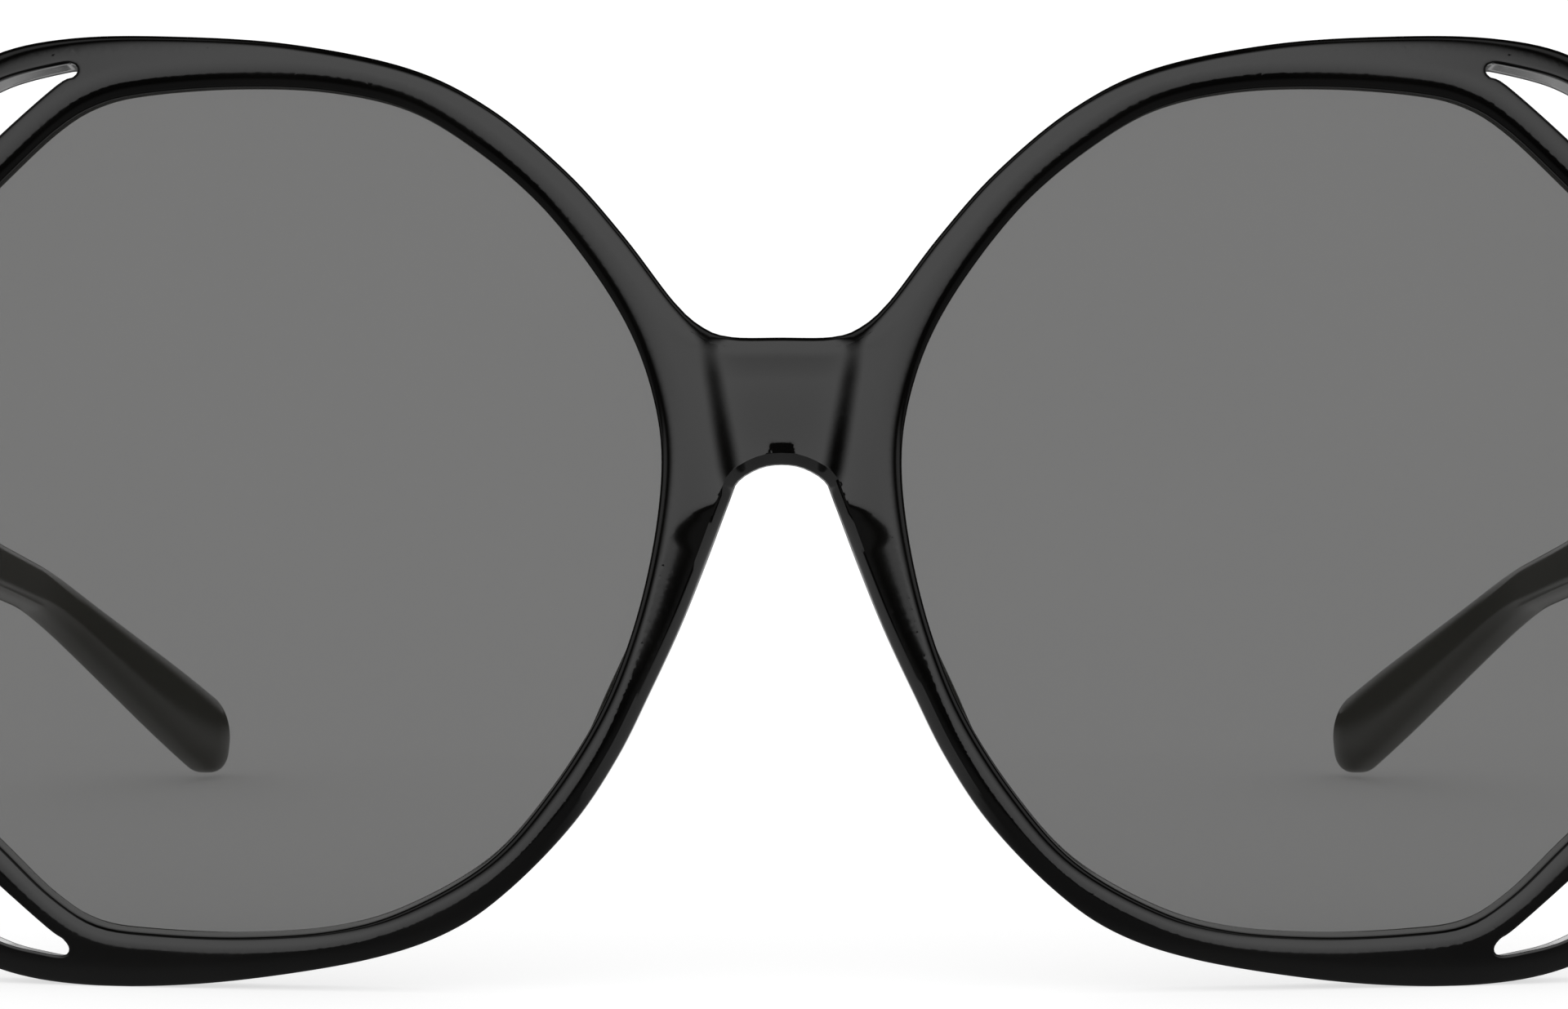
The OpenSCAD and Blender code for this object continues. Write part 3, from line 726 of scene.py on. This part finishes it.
for side in ("left", "right"):
    bevelled_copy("front_hinge_" + side, "hinge_front_half_" + side, "front", LEAF_BEVEL)
    bevelled_copy("temple_hinge_" + side, "hinge_temple_half_" + side, side + "_temple", LEAF_BEVEL)
    bevelled_copy("hinge_screw_" + side, "screw_" + side, "front", SCREW_BEVEL)
    core = frame["nodes"]["temple_core_" + side]
    core.data.materials.clear()
    core.data.materials.append(steel)

# %% [markdown]
# ## Table, light and camera
# The table is white, and so is all that the camera sees behind it. Its shader adds light of its own, so that
# only the soft shadow stays darker than white.
#
# The black rims mirror the table too. To them it is painted dark, with painted pools of light that only
# mirrored
# rays see: painted reflections, since the table is no lamp. The light grows in steps towards the back: a little
# before the rims, more under them, and most behind them, for the walls of the crescents. It ends behind the
# tips, because the temples mirror the table beyond and are dark.

# %% Table
TABLE_HALF = 6
DARK, BRIGHT = (0, 0, 0, 1), (1, 1, 1, 1)
OWN_LIGHT = .66
bm = bmesh.new()
bmesh.ops.create_grid(bm, x_segments=1, y_segments=1, size=TABLE_HALF)
floor_mesh = bpy.data.meshes.new("table")
bm.to_mesh(floor_mesh)
bm.free()
table = bpy.data.objects.new("table", floor_mesh)
bpy.context.scene.collection.objects.link(table)
white, tree, shader = new_material("table_white", Roughness=1.0, Specular_IOR_Level=0.0,
                                   Emission_Strength=1.0)
mirrored, seen = ray_kinds(tree)
# painted dark reflection: to mirrored rays the table is black, to other rays grey
feed(shader, "Base Color", mixed(tree, mirrored, (.5, .5, .5, 1), DARK))
back = axes_of(object_place(tree))[1]
# painted reflections: pools of light that glow from the table only for mirrored rays, in steps towards the back
painted_reflection_pools = (back.ramp(-.3, -.16, .01, .11) + back.ramp(-.088, -.062, 0, .15) + back.ramp(0, .03, 0, .46)
         - back.ramp(.09, .14, 0, .58))
feed(shader, "Emission Color", mixed(tree, mirrored * painted_reflection_pools + seen * OWN_LIGHT, DARK, BRIGHT))
floor_mesh.materials.append(white)
print("table:", 2 * TABLE_HALF, "m wide")

# %% [markdown]
# The room has a different face for each kind of ray. Mirrored rays find a large soft panel in front of and
# above the sunglasses, a weaker panel on each side, a light behind, and darkness between, which draws the edges
# of the rims. Rays that only light the surfaces find an even grey, and the camera finds white.

# %% Room
EVEN_LIGHT = .9
world = bpy.data.worlds.new("room")
bpy.context.scene.world = world
world.use_nodes = True
tree = world.node_tree
dx, dy, dz = axes_of(make_node(tree, "ShaderNodeTexCoord"))
aside = make_node(tree, "ShaderNodeMath", {0: dx / dy}, operation="ABSOLUTE")
front_side = dy.ramp(-.15, 0, 1, 0)
panel = (aside.ramp(.45, 1.05, 1, 0) * dz.ramp(0, .008) * (1 + .65 * dz.ramp(-.1, .4))
         * dz.ramp(.84, .93, 1, 0))
side_panels = aside.ramp(1.3, 1.7) * dz.ramp(.0, .1) * .5
room = front_side * (panel + side_panels) + dy.ramp(.8, .92)
mirrored, seen = ray_kinds(tree)
level = room * mirrored + EVEN_LIGHT * (1 - mirrored)
level = level * (1 - seen) + seen
tree.links.new(level.out, tree.nodes["Background"].inputs["Strength"])
tree.nodes["Background"].inputs["Color"].default_value = BRIGHT
bpy.context.scene.view_settings.view_transform = "Standard"
print("room:", len(tree.nodes), "nodes")

# %% [markdown]
# The camera looks along the middle of the sunglasses from a little below the normal of the front. Its distance
# makes the temple tips as large and as low as in the photo, and its shift puts the middle of the front where
# the photo has it.

# %% Camera
DISTANCE, PIXELS_PER_RADIAN, IMAGE_W, IMAGE_H = 800.0, 13700.0, 1920, 1236
BELOW_NORMAL = math.radians(2.7)
CENTRE_PIXEL, AIM_Z = (957, 626), -.45
sight = Vector((0, math.cos(BELOW_NORMAL), math.sin(BELOW_NORMAL)))
cam_data = bpy.data.cameras.new("camera")
camera = bpy.data.objects.new("camera", cam_data)
bpy.context.scene.collection.objects.link(camera)
bpy.context.scene.camera = camera
cam_data.sensor_width = 36
cam_data.lens = PIXELS_PER_RADIAN / IMAGE_W * cam_data.sensor_width
cam_data.shift_x = (IMAGE_W / 2 - CENTRE_PIXEL[0]) / IMAGE_W
cam_data.shift_y = (CENTRE_PIXEL[1] - IMAGE_H / 2) / IMAGE_W
cam_data.clip_start = .05
camera.location = stand @ (Vector((0, 0, AIM_Z)) - sight * DISTANCE)
camera.rotation_mode = "QUATERNION"
camera.rotation_quaternion = (stand.to_3x3() @ sight).to_track_quat("-Z", "Y")
print("camera at", [round(c, 3) for c in camera.location], "lens", round(cam_data.lens, 1))
